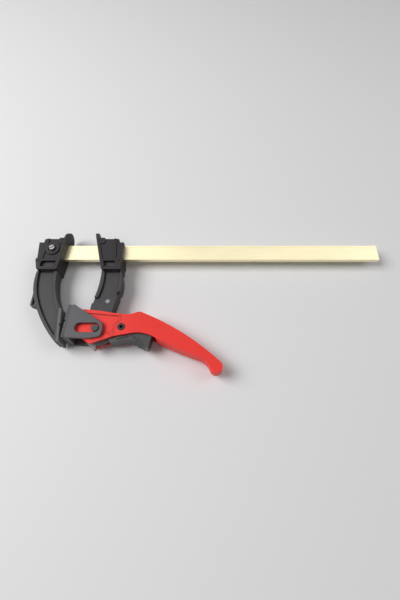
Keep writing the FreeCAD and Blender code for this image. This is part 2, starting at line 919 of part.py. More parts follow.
def make_movable_arm():
    head = movable_head
    body = new_part("movable_arm")
    radius = size.tongue_radius
    slant = radius * turned("cos", QUARTER_MIDDLE_ANGLE)
    outline = [plate_face(head, -size.head_foot)]
    outline += pin_points(ARM_FRONT_SHARES)
    outline += [
        Point(pin_x - radius, pin_y),
        Bend(pin_x - slant, pin_y - slant),
        Point(pin_x, pin_y - radius),
        Bend(pin_x + slant, pin_y - slant),
        Point(pin_x + radius, pin_y),
    ]
    outline += pin_points(ARM_BACK_SHARES)
    outline.append(in_head(head, head.width - head.taper, -size.head_foot))
    pad(body, outline, size.arm_thickness)
    for shares in (ARM_WEB_SHARES, ARM_NOTCH_SHARES, FRONT_NOTCH_SHARES):
        recess(body, size.arm_thickness, size.web_recess, pin_points(shares))
    add_head_block(body, head)
    pocket(body, sector_outline(), size.sector_thickness)
    through_bore(body, Point(pin_x, pin_y), size.lever_pin_radius + size.pin_play)
    through_bore(body, rivet_centre(), size.rivet_radius)
    through_bore(body, brake_pin_centre(), size.brake_pin_radius)


def make_brake_pin():
    body = new_part("brake_pin")
    end = size.arm_thickness / 2
    disc(body, brake_pin_centre(), size.brake_pin_radius, -end, end)


def crown_points(shares):
    """Points of the lever near the pin: across in shares of the nose's reach, up in the crown's."""
    return [kind(pin_x + size.nose_reach * a, pin_y + size.lever_crown * b) for kind, a, b in shares]


def bridge_points(shares):
    """Points over the trigger: along in shares of its length, up from the lever pin in the crown's."""
    return [
        kind(trigger_x + size.trigger_length * a, pin_y + size.lever_crown * b) for kind, a, b in shares
    ]


def handle_points(shares):
    """Points of the handle past the trigger: along in shares of what is left, down in its fall's."""
    left = handle_tip_x - handle_start_x
    return [kind(handle_start_x + left * a, pin_y - size.lever_fall * b) for kind, a, b in shares]


NOSE_TOP_SHARES = (
    (Point, -1.000, 0.600),
    (Point, -0.690, 0.945),
    (Bend, -0.600, 1.010),
    (Point, -0.480, 1.012),
    (Bend, 0.100, 0.935),
    (Point, 0.612, 0.829),
)
BRIDGE_SHARES = (
    (Bend, -0.035, 0.775),
    (Point, 0.176, 0.766),
    (Bend, 0.257, 0.802),
    (Point, 0.324, 0.860),
    (Bend, 0.398, 0.896),
    (Point, 0.496, 0.842),
)
HANDLE_TOP_SHARE = (Bend, 0.431, 0.075)
HANDLE_LOW_SHARES = (
    (Bend, 0.843, 0.885),
    (Point, 0.745, 0.773),
    (Bend, 0.431, 0.574),
    (Point, 0.051, 0.291),
)
UNDERSIDE_SHARES = (
    (Point, 0.735, 0.450),
    (Bend, 0.473, 0.293),
    (Point, 0.192, 0.332),
    (Point, -0.593, 0.472),
)
LIP_SHARES = (
    (Point, 0.224, -0.577),
    (Point, -0.020, -0.690),
    (Bend, -0.160, -0.720),
    (Point, -0.245, -0.685),
    (Point, -0.396, -0.550),
)
CHANNEL_SHARES = (
    (Point, -0.643, -1.200),
    (Point, -0.643, -0.486),
    (Point, 0.611, -0.445),
    (Bend, 0.746, -0.295),
    (Point, 0.799, 0.059),
    (Point, 0.785, 1.027),
)
PANEL_SHARES = (
    (Point, -0.480, 0.832),
    (Point, 0.832, 0.685),
    (Bend, 0.877, 0.625),
    (Point, 0.743, 0.275),
    (Bend, 0.716, 0.090),
    (Point, 0.720, -0.149),
    (Point, 0.526, -0.216),
    (Point, 0.150, -0.420),
)
OUTER_STEP_SHARES = (
    (Point, 0.830, 0.660),
    (Point, 0.963, 0.725),
    (Bend, 1.007, 0.617),
    (Point, 0.854, 0.302),
    (Bend, 0.810, 0.160),
    (Point, 0.776, -0.311),
    (Point, 0.600, -0.370),
    (Point, 0.500, -0.180),
)


TAPER_START_SHARE = 0.2
TIP_START_ANGLE = 40
TIP_MIDDLE_ANGLE = -70
TIP_END_ANGLE = -165


def tip_point(angle):
    """A point of the round tip, its angle counted anticlockwise from +X."""
    radius = size.lever_tip_radius
    tip_y = pin_y - size.lever_fall
    return Point(handle_tip_x + radius * turned("cos", angle), tip_y + radius * turned("sin", angle))


def lever_outline():
    outline = [nose_point(0)]
    outline += crown_points(NOSE_TOP_SHARES)
    outline += bridge_points(BRIDGE_SHARES)
    outline += handle_points([HANDLE_TOP_SHARE])
    outline += [tip_point(TIP_START_ANGLE), Bend(*tip_point(TIP_MIDDLE_ANGLE)), tip_point(TIP_END_ANGLE)]
    outline += handle_points(HANDLE_LOW_SHARES)
    outline += trigger_points(UNDERSIDE_SHARES)
    outline += crown_points(LIP_SHARES)
    outline += [nose_point(1), Bend(*nose_point(0.5))]
    return outline


def make_lever():
    """Two cheeks round the arm that join into the handle, with a panel that the jaw slides over."""
    body = new_part("lever")
    pad(body, lever_outline(), size.lever_thickness)
    taper_handle(body)
    before = -size.nose_reach - size.cut_overrun
    above = size.lever_crown + size.cut_overrun
    front = pin_x + before
    channel = trigger_points(CHANNEL_SHARES)
    channel[0] = Point(channel[1].x, pin_y + above)
    channel += [Point(front, channel[-1].y), Point(front, pin_y + above)]
    pocket(body, channel, channel_thickness)
    panel = crown_points(PANEL_SHARES)
    panel.append(Point(front, panel[-1].y))
    panel.append(Point(front, panel[0].y))
    recess(body, size.lever_thickness, size.panel_step, panel)
    recess(body, size.lever_thickness, size.outer_step, crown_points(OUTER_STEP_SHARES))
    through_bore(body, Point(pin_x, pin_y), size.lever_pin_radius + size.pin_play)
    trigger_pin = Point(trigger_x, trigger_y)
    through_bore(body, trigger_pin, size.trigger_pin_radius)


def taper_handle(body):
    """Thins the lever on both faces, evenly from over the trigger to the middle of the tip."""
    start = trigger_x + size.trigger_length * TAPER_START_SHARE
    half = size.lever_thickness / 2
    slope = (size.lever_thickness - size.handle_tip_thickness) / 2 / (handle_tip_x - start)
    far = handle_tip_x + size.lever_tip_radius + size.cut_overrun
    outside = half + size.cut_overrun
    far_face = half - slope * (far - start)
    reach = (size.lever_pin_drop + size.lever_fall + size.lever_tip_radius + size.cut_overrun) * 2
    for way in (1, -1):
        wedge = [
            Point(start, half * way),
            Point(far, far_face * way),
            Point(far, outside * way),
            Point(start, outside * way),
        ]
        pocket(body, wedge, reach, "XZ_Plane")


def make_lever_pin():
    centre = Point(pin_x, pin_y)
    face = panel_thickness / 2
    under_clip = face + size.seat_play
    low = under_clip + size.clip_thickness + size.pin_groove_depth * 2
    body = new_part("lever_pin")
    disc(body, centre, size.lever_pin_radius, -low, face + size.seat_play)
    disc(
        body,
        centre,
        size.lever_pin_head_radius,
        face + size.seat_play,
        face + size.seat_play + size.lever_pin_head_height,
    )
    neck = size.lever_pin_radius - size.pin_groove_depth
    ring = new_sketch(body, level=-under_clip - size.clip_thickness)
    draw_circle(ring, centre, size.lever_pin_radius + size.cut_overrun)
    draw_circle(ring, centre, neck)
    groove = body.newObject("PartDesign::Pocket", "lever_pin_groove")
    finish_feature(groove, ring, size.clip_thickness, False, reverse=True)

    clip = new_part("lever_pin_clip")
    outer = size.lever_pin_radius + size.clip_width
    disc(clip, centre, outer, -under_clip - size.clip_thickness, -under_clip)
    through_bore(clip, centre, neck + size.pin_play)
    gap = size.clip_gap / 2
    mouth = rectangle(pin_x - gap, pin_x + gap, pin_y - outer - size.cut_overrun, pin_y)
    pocket(clip, mouth, size.jaw_thickness)


def trigger_points(shares):
    """Points round the trigger: behind its pin in shares of its length, before it of its toe's."""
    points = []
    for kind, across, down in shares:
        reach = size.trigger_toe_length if across < 0 else size.trigger_length
        points.append(kind(trigger_x + reach * across, trigger_y - size.trigger_depth * down))
    return points


TRIGGER_SLOT_SHARES = (
    (Point, -0.305, 0.636),
    (Point, 0.183, 0.500),
    (Point, 0.178, 0.441),
    (Point, -0.313, 0.573),
)
BOSS_START_ANGLE = 25
PAWL_TIP_ANGLE = 41
RIB_CREST_SHARE = 0.35
RIB_HEEL_SHARE = 0.7
GROOVE_LEAN_SHARE = 0.33
TOE_SHARES = (
    (Point, -0.546, 0.100),
    (Point, -0.999, 0.590),
    (Point, -0.985, 0.682),
    (Bend, -0.924, 0.722),
    (Point, -0.773, 0.735),
    (Point, -0.413, 0.732),
    (Bend, 0.025, 0.640),
    (Point, 0.233, 0.600),
)
RIB_START_SHARES = (0.290, 0.655)
RIB_END_SHARES = (0.560, 0.960)
HEEL_SHARES = (
    (Point, 0.605, 1.005),
    (Bend, 0.643, 0.965),
    (Point, 0.656, 0.880),
    (Point, 0.718, 0.445),
    (Bend, 0.705, 0.350),
    (Point, 0.662, 0.310),
    (Point, 0.320, 0.060),
)
PAWL_SHARES = (
    (Point, -0.924, 0.490),
    (Point, -0.485, 0.330),
    (Point, -0.359, 0.540),
    (Point, -0.837, 0.682),
)
SPRING_START_SHARE = 0.40
SPRING_TURN_SHARE = 0.62
SPRING_END_SHARE = 0.60


def rib_points(number):
    """The start, crest and heel of one finger rib on the trigger's lower edge."""
    start, end = (trigger_points([(Point, *shares)])[0] for shares in (RIB_START_SHARES, RIB_END_SHARES))
    marks = (number, number + RIB_CREST_SHARE, number + RIB_HEEL_SHARE, number + 1)
    return [along(start, end, mark / RIB_COUNT) for mark in marks]


def trigger_outline():
    rise = size.trigger_rib_height
    outline = trigger_points(TOE_SHARES)
    for number in range(RIB_COUNT):
        low, crest, high, _ = rib_points(number)
        outline.append(low)
        outline.append(Bend(crest.x - rise / 2, crest.y - rise))
        outline.append(high)
    outline += trigger_points(HEEL_SHARES)
    boss = size.trigger_boss_radius
    cosine = turned("cos", BOSS_START_ANGLE)
    sine = turned("sin", BOSS_START_ANGLE)
    outline.append(Point(trigger_x + boss * cosine, trigger_y + boss * sine))
    outline.append(Bend(trigger_x, trigger_y + boss))
    outline.append(Point(trigger_x - boss, trigger_y))
    return outline


def rib_groove(number):
    """The groove on the trigger's face that runs up from the gap behind a rib."""
    _, _, high, after = rib_points(number)
    reach = size.trigger_groove_reach
    deep = size.trigger_rib_height + size.cut_overrun
    lean = GROOVE_LEAN_SHARE
    return [
        Point(high.x + deep * lean, high.y - deep),
        Point(after.x + deep * lean, after.y - deep),
        Point(after.x - reach * lean, after.y + reach),
        Point(high.x - reach * lean, high.y + reach),
    ]


def pawl_outline():
    """The pawl's tip stands just clear of the teeth, so that it can pass over every one."""
    tip = around_pin(size.sector_tip_radius + size.pawl_gap, PAWL_TIP_ANGLE)
    return [tip, *trigger_points(PAWL_SHARES)]


def make_trigger():
    body = new_part("trigger")
    pad(body, trigger_outline(), size.arm_thickness - size.seat_play * 2)
    pocket(body, pawl_outline(), size.pawl_thickness)
    thickness = size.arm_thickness - size.seat_play * 2
    grooves = [rib_groove(number) for number in range(RIB_COUNT)]
    recess(body, thickness, size.trigger_groove_depth, trigger_points(TRIGGER_SLOT_SHARES), *grooves)
    through_bore(body, Point(trigger_x, trigger_y), size.trigger_pin_radius + size.pin_play)


def make_pawl():
    body = new_part("pawl")
    pad(body, pawl_outline(), size.pawl_thickness)


def make_trigger_pin():
    """A tubular rivet: a hollow shank with a rolled flange on each side of the lever."""
    body = new_part("trigger_pin")
    centre = Point(trigger_x, trigger_y)
    under = size.lever_thickness / 2
    top = under + size.trigger_pin_flange_height
    disc(body, centre, size.trigger_pin_radius, -under, under)
    disc(body, centre, size.trigger_pin_flange_radius, under, top)
    disc(body, centre, size.trigger_pin_flange_radius, -top, -under)
    through_bore(body, centre, size.trigger_pin_bore)


def make_trigger_spring():
    """A leaf that lies against the roof of the lever's channel and bends down to the trigger."""
    body = new_part("trigger_spring")
    near, far = trigger_points(CHANNEL_SHARES[1:3])
    start = along(near, far, SPRING_START_SHARE)
    turn = along(near, far, SPRING_TURN_SHARE)
    heel, root = trigger_points(HEEL_SHARES[-2:])
    end = along(root, heel, SPRING_END_SHARE)
    thick = size.spring_thickness
    play = size.seat_play
    outline = [
        Point(start.x, start.y - play),
        Point(turn.x, turn.y - play),
        Point(end.x + thick / 2, end.y + play * 2),
        Point(end.x - thick / 2, end.y + play * 2),
        Point(turn.x - thick / 2, turn.y - play - thick),
        Point(start.x, start.y - play - thick),
    ]
    pad(body, outline, size.spring_width)


JAW_SHARES = (
    (Point, 0.110, 0.010),
    (Point, 0.895, -0.550),
    (Bend, 0.930, -0.645),
    (Point, 0.940, -0.740),
    (Point, 0.923, -0.880),
    (Bend, 0.885, -0.960),
    (Point, 0.810, -0.995),
    (Point, 0.600, -1.037),
    (Point, 0.245, -1.020),
)


def jaw_face(drop, behind=ZERO):
    """A point of the pressure jaw's face at a drop below its top corner, or behind that face."""
    wall = pin_x - size.nose_reach - size.jaw_wall_play
    lean = drop * turned("tan", size.jaw_face_lean_angle)
    front = wall - size.jaw_wall_thickness - size.jaw_pad_thickness
    return Point(front - lean + behind, pin_y + size.jaw_rise - drop)


def make_jaw():
    """Two cheeks with a slot for the pin, joined by the wall that the lever's nose pushes on."""
    body = new_part("pressure_jaw")
    seat_top = jaw_face(ZERO, size.jaw_pad_thickness)
    seat_low = jaw_face(size.jaw_height, size.jaw_pad_thickness)
    outline = [seat_top]
    outline += [
        kind(seat_top.x + size.jaw_length * across, seat_top.y + size.jaw_height * up)
        for kind, across, up in JAW_SHARES
    ]
    outline.append(seat_low)
    pad(body, outline, size.jaw_thickness)
    wall = pin_x - size.nose_reach - size.jaw_wall_play
    reach = size.jaw_length + size.jaw_height
    hollow = rectangle(wall, pin_x + reach, pin_y - reach, pin_y + reach)
    pocket(body, hollow, jaw_inner_thickness)
    slot = round_slot(pin_x - size.slot_length, pin_x, pin_y, size.slot_width / 2)
    pocket(body, slot, size.jaw_thickness + size.cut_overrun)


def make_jaw_pad():
    thick = size.jaw_pad_thickness
    notched_pad(
        "jaw_pad",
        jaw_face(ZERO),
        jaw_face(size.jaw_height),
        jaw_face(ZERO, thick),
        jaw_face(size.jaw_height, thick),
        size.jaw_thickness,
        1,
    )


def check_document():
    """Stops if any feature failed or any piece isn't one sound solid."""
    for item in document.Objects:
        if "Invalid" in item.State or "Error" in item.State:
            raise RuntimeError(f"{item.Label} failed: {item.State}")
    for body in parts:
        shape = body.Shape
        if shape.isNull() or not shape.isValid() or len(shape.Solids) != 1:
            raise RuntimeError(f"{body.Label} isn't one sound solid")


def main():
    make_bar()
    make_fixed_arm()
    fixed_cover = make_cover(fixed_head)
    add_screw_seat(fixed_cover)
    make_screw()
    make_fixed_pad()
    make_movable_arm()
    bar_hole(make_cover(movable_head), movable_head)
    for head in (fixed_head, movable_head):
        make_plate(head)
        make_cover_pin(head)
    make_brake_pin()
    make_sector()
    make_rivet()
    make_lever()
    make_lever_pin()
    make_trigger()
    make_pawl()
    make_trigger_pin()
    make_trigger_spring()
    make_jaw()
    make_jaw_pad()
    document.recompute()
    check_document()
    os.makedirs("parts", exist_ok=True)
    for body in parts:
        body.Shape.exportStep(f"parts/{body.Label}.step")
        print(body.Label, round(body.Shape.Volume), body.Shape.BoundBox)


main()
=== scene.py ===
"""The finished look of a quick release bar clamp that lies on its side on a pale bench."""

from __future__ import annotations

import json
import logging
import math
from dataclasses import dataclass
from enum import Enum

import bmesh
import bmesh.types
import bpy
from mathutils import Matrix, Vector
from mathutils.bvhtree import BVHTree
from mathutils.geometry import area_tri, delaunay_2d_cdt

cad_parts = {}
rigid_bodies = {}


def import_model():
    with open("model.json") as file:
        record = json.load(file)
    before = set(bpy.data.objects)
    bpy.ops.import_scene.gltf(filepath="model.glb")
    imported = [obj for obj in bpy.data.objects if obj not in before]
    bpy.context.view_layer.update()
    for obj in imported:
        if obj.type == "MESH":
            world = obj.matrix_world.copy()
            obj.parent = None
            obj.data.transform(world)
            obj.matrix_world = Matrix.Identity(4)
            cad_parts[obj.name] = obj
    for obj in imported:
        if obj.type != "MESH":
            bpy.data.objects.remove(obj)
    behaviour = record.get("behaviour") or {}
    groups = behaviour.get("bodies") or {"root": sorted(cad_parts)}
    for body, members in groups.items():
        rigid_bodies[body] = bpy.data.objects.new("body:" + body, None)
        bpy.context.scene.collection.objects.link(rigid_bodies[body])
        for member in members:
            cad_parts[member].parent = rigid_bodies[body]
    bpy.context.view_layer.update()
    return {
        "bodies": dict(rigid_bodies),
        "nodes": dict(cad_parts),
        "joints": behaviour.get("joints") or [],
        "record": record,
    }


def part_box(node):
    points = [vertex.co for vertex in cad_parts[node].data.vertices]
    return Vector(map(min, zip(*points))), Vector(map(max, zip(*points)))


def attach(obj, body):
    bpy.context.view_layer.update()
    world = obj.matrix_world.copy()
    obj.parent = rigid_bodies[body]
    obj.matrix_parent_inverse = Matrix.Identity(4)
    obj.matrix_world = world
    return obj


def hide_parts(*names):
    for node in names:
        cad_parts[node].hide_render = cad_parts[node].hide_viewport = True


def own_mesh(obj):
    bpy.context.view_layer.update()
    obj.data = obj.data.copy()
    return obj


LOG = logging.getLogger("bar_clamp")
MM = 0.001

# The sockets of Blender's colour mix, which has several of the same name.
MIX_SHARE, MIX_FIRST, MIX_SECOND, MIX_RESULT = 0, 6, 7, 2

# Most of a noise's values lie between these.
NOISE_LOW, NOISE_HIGH = 0.3, 0.7

# How far the roughness swings with a finish's clouds.
ROUGHNESS_SWING = 0.05

# An edge lightened as wear and painted highlight starts at the first cosine between true and rounded normal,
# and is full at the second.
EDGE_STARTS, EDGE_FULL, EDGE_SAMPLES = 0.995, 0.85, 4

# Painted shade in a corner starts where this share of the nearby space is open, and is full at the second.
PAINTED_SHADE_STARTS, PAINTED_SHADE_FULL, PAINTED_SHADE_SAMPLES = 0.98, 0.86, 8


class Grain(Enum):
    """How fine lines or dots run over a surface: the stretch of their pattern along X, Y and Z."""

    SPARK = (1.0, 1.0, 1.0)
    ALONG_BAR = (0.02, 1.0, 1.0)
    TURNED = (1.0, 1.0, 0.1)
    CLOUDED = (0.3, 1.0, 1.0)


class ShaderBench:
    """Lays out the nodes of one material and joins them."""

    def __init__(self, name: str) -> None:
        """Start a material.

        Args:
            name: The material's name.
        """
        self.material = bpy.data.materials.new(name)
        self.material.use_nodes = True
        self.tree = self.material.node_tree
        self.surface = self.tree.nodes["Principled BSDF"]

    def node(self, kind: str, **inputs: float | tuple) -> bpy.types.Node:
        """Add a node and fill in its inputs.

        Args:
            kind: The node's type name.
            **inputs: Values for inputs, with spaces in their names as underscores.

        Returns:
            The new node.
        """
        made = self.tree.nodes.new(kind)
        for name, value in inputs.items():
            made.inputs[name.replace("_", " ")].default_value = value
        return made

    def join(self, source: bpy.types.NodeSocket, target: bpy.types.NodeSocket) -> None:
        """Link an output to an input."""
        self.tree.links.new(source, target)

    def stretched(self, stretch: tuple[float, float, float]) -> bpy.types.NodeSocket:
        """The piece's own coordinates, stretched.

        Args:
            stretch: The scale along X, Y and Z.

        Returns:
            The stretched coordinates.
        """
        place = self.node("ShaderNodeTexCoord")
        mapping = self.node("ShaderNodeMapping", Scale=stretch)
        self.join(place.outputs["Object"], mapping.inputs["Vector"])
        return mapping.outputs["Vector"]

    def noise(self, vector: bpy.types.NodeSocket, scale: float, detail: float) -> bpy.types.NodeSocket:
        """A noise pattern.

        Args:
            vector: The coordinates that it is laid over.
            scale: Its dots per metre.
            detail: How many finer layers it has.

        Returns:
            The pattern's value.
        """
        made = self.node("ShaderNodeTexNoise", Scale=scale, Detail=detail)
        self.join(vector, made.inputs["Vector"])
        return made.outputs["Fac"]

    def mapped(
        self, value: bpy.types.NodeSocket, start: float, end: float, low: float = 0.0, high: float = 1.0
    ) -> bpy.types.NodeSocket:
        """Map one range of a value to another.

        Args:
            value: The value.
            start: What becomes the low end.
            end: What becomes the high end.
            low: The low end.
            high: The high end.

        Returns:
            The mapped value.
        """
        made = self.node("ShaderNodeMapRange", From_Min=start, From_Max=end, To_Min=low, To_Max=high)
        self.join(value, made.inputs["Value"])
        return made.outputs["Result"]

    def spread(self, noise: bpy.types.NodeSocket, low: float, high: float) -> bpy.types.NodeSocket:
        """A noise whose dark dots are low and whose bright dots are high."""
        return self.mapped(noise, NOISE_LOW, NOISE_HIGH, low, high)

    def scaled(self, value: bpy.types.NodeSocket, factor: float) -> bpy.types.NodeSocket:
        """Multiply a value.

        Args:
            value: The value.
            factor: What it is multiplied by.

        Returns:
            The product.
        """
        made = self.node("ShaderNodeMath")
        made.operation = "MULTIPLY"
        made.inputs[1].default_value = factor
        self.join(value, made.inputs[0])
        return made.outputs["Value"]

    def edge_mask(self, reach: float) -> bpy.types.NodeSocket:
        """A value that rises towards one along sharp edges.

        Args:
            reach: How far from an edge it starts, in metres.

        Returns:
            The mask.
        """
        rounded = self.node("ShaderNodeBevel", Radius=reach)
        rounded.samples = EDGE_SAMPLES
        plain = self.node("ShaderNodeNewGeometry")
        dot = self.node("ShaderNodeVectorMath")
        dot.operation = "DOT_PRODUCT"
        self.join(rounded.outputs["Normal"], dot.inputs[0])
        self.join(plain.outputs["Normal"], dot.inputs[1])
        return self.mapped(dot.outputs["Value"], EDGE_STARTS, EDGE_FULL)

    def painted_shade_mask(self, reach: float) -> bpy.types.NodeSocket:
        """A mask of painted shade, which rises towards one in the corners where two faces meet.

        Args:
            reach: How far from a corner it starts, in metres.

        Returns:
            The mask.
        """
        hidden = self.node("ShaderNodeAmbientOcclusion", Distance=reach)
        hidden.samples = PAINTED_SHADE_SAMPLES
        hidden.only_local = True
        return self.mapped(hidden.outputs["AO"], PAINTED_SHADE_STARTS, PAINTED_SHADE_FULL)

    def mixed(
        self, share: bpy.types.NodeSocket, first: tuple | bpy.types.NodeSocket, second: tuple
    ) -> bpy.types.NodeSocket:
        """Mix two colours.

        Args:
            share: How much of the second colour shows.
            first: The first colour, or a socket that gives it.
            second: The second colour.

        Returns:
            The mixed colour.
        """
        made = self.node("ShaderNodeMix")
        made.data_type = "RGBA"
        self.join(share, made.inputs[MIX_SHARE])
        if isinstance(first, tuple):
            made.inputs[MIX_FIRST].default_value = first
        else:
            self.join(first, made.inputs[MIX_FIRST])
        made.inputs[MIX_SECOND].default_value = second
        return made.outputs[MIX_RESULT]

    def roughen(self, cloud: bpy.types.NodeSocket, roughness: float) -> None:
        """Let the roughness swing a little with a cloud pattern."""
        swing = self.spread(cloud, roughness - ROUGHNESS_SWING, roughness + ROUGHNESS_SWING)
        self.join(swing, self.surface.inputs["Roughness"])

    def bump(self, value: bpy.types.NodeSocket, height: float, strength: float) -> None:
        """Raise the surface by a pattern.

        Args:
            value: The pattern.
            height: How high its bright dots stand, in metres.
            strength: How much of that shows.
        """
        made = self.node("ShaderNodeBump", Distance=height, Strength=strength)
        self.join(value, made.inputs["Height"])
        self.join(made.outputs["Normal"], self.surface.inputs["Normal"])


def shade(colour: tuple[float, float, float], factor: float) -> tuple[float, float, float, float]:
    """A colour made lighter or darker, with full alpha."""
    return tuple(min(1.0, part * factor) for part in colour) + (1.0,)


@dataclass(frozen=True)
class MouldedPlastic:
    """Injection moulded plastic with a fine spark texture, edges lightened partly as rubbing wear and partly
    as painted highlight, and painted shade in its corners.

    Attributes:
        name: The material's name.
        colour: Its colour.
        roughness: Its mean roughness.
        grain_height: How high the spark texture stands, in metres.
        edge_wear_and_highlight: How far the colour of its edges goes towards worn and painted-highlit.
        mottle: How far its colour swings either way.
        gloss: Its specular level.
        worn_and_highlight_tone: How many times lighter a fully worn, painted-highlit edge is.
        painted_shade_tone: How bright the painted shade in its corners is beside the rest.
        painted_shade_reach: How far from a corner the painted shade darkens, in metres.
        wear_and_highlight_reach: How far from an edge the wear and painted highlight start, in metres.
        cloud_scale: The clouds of its mottle, per metre.
        grain_scale: The dots of its spark texture, per metre.
        grain_strength: How much of the spark texture's height shows.
    """

    name: str
    colour: tuple[float, float, float]
    roughness: float = 0.5
    grain_height: float = 0.03 * MM
    edge_wear_and_highlight: float = 0.35
    mottle: float = 0.07
    gloss: float = 0.3
    worn_and_highlight_tone: float = 1.7
    painted_shade_tone: float = 0.3
    painted_shade_reach: float = 1.6 * MM
    wear_and_highlight_reach: float = 0.5 * MM
    cloud_scale: float = 45.0
    grain_scale: float = 2600.0
    grain_strength: float = 0.6

    def material(self) -> bpy.types.Material:
        """Make the finish.

        Returns:
            The material.
        """
        bench = ShaderBench(self.name)
        place = bench.stretched(Grain.SPARK.value)
        cloud = bench.noise(place, self.cloud_scale, detail=3.0)
        fine = bench.noise(place, self.grain_scale, detail=2.0)
        body = bench.mixed(
            bench.spread(cloud, 0.0, 1.0),
            shade(self.colour, 1.0 - self.mottle),
            shade(self.colour, 1.0 + self.mottle),
        )
        # Edges are lightened, partly as rubbing wear and partly as painted highlight.
        wear_and_highlight = bench.scaled(bench.edge_mask(self.wear_and_highlight_reach), self.edge_wear_and_highlight)
        worn_and_highlit = bench.mixed(wear_and_highlight, body, shade(self.colour, self.worn_and_highlight_tone))
        # Painted shade: corners where two faces meet are darkened where shade would fall.
        painted_shade = bench.painted_shade_mask(self.painted_shade_reach)
        shaded = bench.mixed(painted_shade, worn_and_highlit, shade(self.colour, self.painted_shade_tone))
        bench.join(shaded, bench.surface.inputs["Base Color"])
        bench.roughen(cloud, self.roughness)
        bench.surface.inputs["Specular IOR Level"].default_value = self.gloss
        bench.bump(fine, self.grain_height, self.grain_strength)
        return bench.material


@dataclass(frozen=True)
class WorkedMetal:
    """Bare metal with the fine lines that drawing, brushing or turning leaves.

    Attributes:
        name: The material's name.
        colour: Its colour.
        roughness: Its mean roughness.
        grain: How its lines run.
        metallic: How bare the metal is, from 0, coated, to 1, bare.
        tones: The tones of its dark and its bright lines beside its colour.
        line_scale: The lines per metre.
        line_height: How high the lines stand, in metres.
        line_strength: How much of that height shows.
        cloud_scale: The clouds of its roughness, per metre.
    """

    name: str
    colour: tuple[float, float, float]
    roughness: float = 0.34
    grain: Grain = Grain.ALONG_BAR
    metallic: float = 1.0
    tones: tuple[float, float] = (0.93, 1.05)
    line_scale: float = 2200.0
    line_height: float = 0.006 * MM
    line_strength: float = 0.5
    cloud_scale: float = 40.0

    def material(self) -> bpy.types.Material:
        """Make the finish.

        Returns:
            The material.
        """
        bench = ShaderBench(self.name)
        lines = bench.noise(bench.stretched(self.grain.value), self.line_scale, detail=3.0)
        cloud = bench.noise(bench.stretched(Grain.CLOUDED.value), self.cloud_scale, detail=2.0)
        dark, bright = (shade(self.colour, tone) for tone in self.tones)
        tone = bench.mixed(bench.spread(lines, 0.0, 1.0), dark, bright)
        bench.join(tone, bench.surface.inputs["Base Color"])
        bench.surface.inputs["Metallic"].default_value = self.metallic
        bench.roughen(cloud, self.roughness)
        bench.bump(lines, self.line_height, self.line_strength)
        return bench.material


@dataclass(frozen=True)
class SoftRubber:
    """Matt rubber with a faint pebble.

    Attributes:
        name: The material's name.
        colour: Its colour.
        roughness: Its roughness.
        gloss: Its specular level.
        tones: The tones of its dark and its bright clouds beside its colour.
        cloud_scale: The clouds per metre.
        pebble_scale: The pebbles per metre.
        pebble_height: How high the pebbles stand, in metres.
        pebble_strength: How much of that height shows.
    """

    name: str
    colour: tuple[float, float, float]
    roughness: float = 0.78
    gloss: float = 0.25
    tones: tuple[float, float] = (0.88, 1.14)
    cloud_scale: float = 70.0
    pebble_scale: float = 1500.0
    pebble_height: float = 0.05 * MM
    pebble_strength: float = 0.6

    def material(self) -> bpy.types.Material:
        """Make the finish.

        Returns:
            The material.
        """
        bench = ShaderBench(self.name)
        place = bench.stretched(Grain.SPARK.value)
        cloud = bench.noise(place, self.cloud_scale, detail=3.0)
        pebble = bench.noise(place, self.pebble_scale, detail=2.0)
        dark, bright = (shade(self.colour, tone) for tone in self.tones)
        tone = bench.mixed(bench.spread(cloud, 0.0, 1.0), dark, bright)
        bench.join(tone, bench.surface.inputs["Base Color"])
        bench.surface.inputs["Roughness"].default_value = self.roughness
        bench.surface.inputs["Specular IOR Level"].default_value = self.gloss
        bench.bump(pebble, self.pebble_height, self.pebble_strength)
        return bench.material


Finish = MouldedPlastic | WorkedMetal | SoftRubber

HEAD_PLASTIC = MouldedPlastic("head_plastic", (0.016, 0.013, 0.015))
ARM_PLASTIC = MouldedPlastic("arm_plastic", (0.045, 0.042, 0.045))
JAW_PLASTIC = MouldedPlastic("jaw_plastic", (0.098, 0.094, 0.102))
# The trigger's edges and rib crests are lightened strongly as painted highlights, and its corners get deep
# painted shade.
TRIGGER_PLASTIC = MouldedPlastic(
    "trigger_plastic", (0.036, 0.033, 0.035), 0.36, edge_wear_and_highlight=0.9, gloss=0.5, worn_and_highlight_tone=5.5, painted_shade_tone=0.1
)
# The lever's step lines and corners get painted shade.
LEVER_RED = MouldedPlastic(
    "lever_red", (0.885, 0.044, 0.034), 0.5, 0.015 * MM, edge_wear_and_highlight=0.25, mottle=0.04, painted_shade_tone=0.4
)
BAR_ALUMINIUM = WorkedMetal("bar_aluminium", (0.87, 0.79, 0.53), 0.38)
PLATED_STEEL = WorkedMetal("plated_steel", (0.32, 0.32, 0.31), 0.34, Grain.TURNED)
SECTOR_STEEL = WorkedMetal("sector_steel", (0.190, 0.185, 0.180), 0.60, Grain.SPARK, metallic=0.2)
WASHER_STEEL = WorkedMetal("washer_steel", (0.030, 0.030, 0.030), 0.50, Grain.TURNED)
DARK_STEEL = WorkedMetal("dark_steel", (0.036, 0.034, 0.034), 0.50, Grain.SPARK)
PIN_STEEL = WorkedMetal("pin_steel", (0.056, 0.054, 0.055), 0.50, Grain.TURNED)
RIVET_STEEL = WorkedMetal("rivet_steel", (0.180, 0.178, 0.188), 0.50, Grain.TURNED)
PAD_RUBBER = SoftRubber("pad_rubber", (0.115, 0.112, 0.116))
FIXED_PAD_RUBBER = SoftRubber("fixed_pad_rubber", (0.158, 0.157, 0.154))


